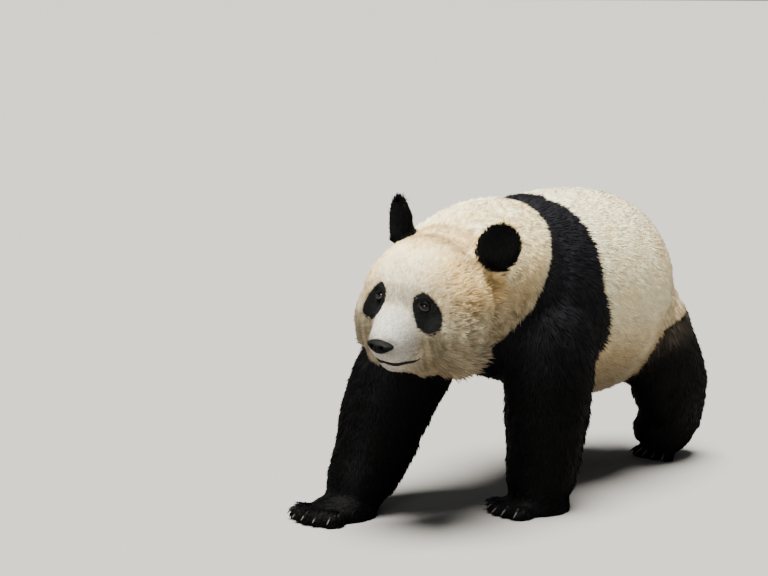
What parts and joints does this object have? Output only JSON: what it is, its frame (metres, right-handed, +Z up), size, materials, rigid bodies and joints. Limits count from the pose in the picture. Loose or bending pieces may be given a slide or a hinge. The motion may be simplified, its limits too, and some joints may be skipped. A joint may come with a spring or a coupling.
{
  "type": "giant panda",
  "caption": "Giant panda walking with its head low and turned a little to its left, a still life-size animal model in full coat.",
  "frame": {"origin": "on the floor, under the middle of the animal's footprint box", "axes": "+Z up, +Y from the head towards the rump, +X to the animal's left"},
  "size_m": [0.5788, 1.394, 0.8007],
  "materials": {
    "cream_fur": "dense coarse fur",
    "white_fur": "dense coarse fur",
    "black_fur": "dense coarse fur, slight gloss",
    "nose_leather": "moist, finely pebbled",
    "eye": "wet gloss",
    "claw_horn": "smooth horn"
  },
  "bodies": {
    "root": {"head": "cream_fur", "neck": "cream_fur", "trunk": "white_fur", "tail": "white_fur", "left_ear": "black_fur", "left_eye": "eye", "right_ear": "black_fur", "right_eye": "eye", "nose": "nose_leather", "left_fore_upper": "black_fur", "left_fore_lower": "black_fur", "left_fore_paw": "black_fur", "left_fore_claw_1": "claw_horn", "left_fore_claw_2": "claw_horn", "left_fore_claw_3": "claw_horn", "left_fore_claw_4": "claw_horn", "left_fore_claw_5": "claw_horn", "left_hind_upper": "black_fur", "left_hind_lower": "black_fur", "left_hind_paw": "black_fur", "left_hind_claw_1": "claw_horn", "left_hind_claw_2": "claw_horn", "left_hind_claw_3": "claw_horn", "left_hind_claw_4": "claw_horn", "left_hind_claw_5": "claw_horn", "right_fore_upper": "black_fur", "right_fore_lower": "black_fur", "right_fore_paw": "black_fur", "right_fore_claw_1": "claw_horn", "right_fore_claw_2": "claw_horn", "right_fore_claw_3": "claw_horn", "right_fore_claw_4": "claw_horn", "right_fore_claw_5": "claw_horn", "right_hind_upper": "black_fur", "right_hind_lower": "black_fur", "right_hind_paw": "black_fur", "right_hind_claw_1": "claw_horn", "right_hind_claw_2": "claw_horn", "right_hind_claw_3": "claw_horn", "right_hind_claw_4": "claw_horn", "right_hind_claw_5": "claw_horn"}
  },
  "joints": []
}
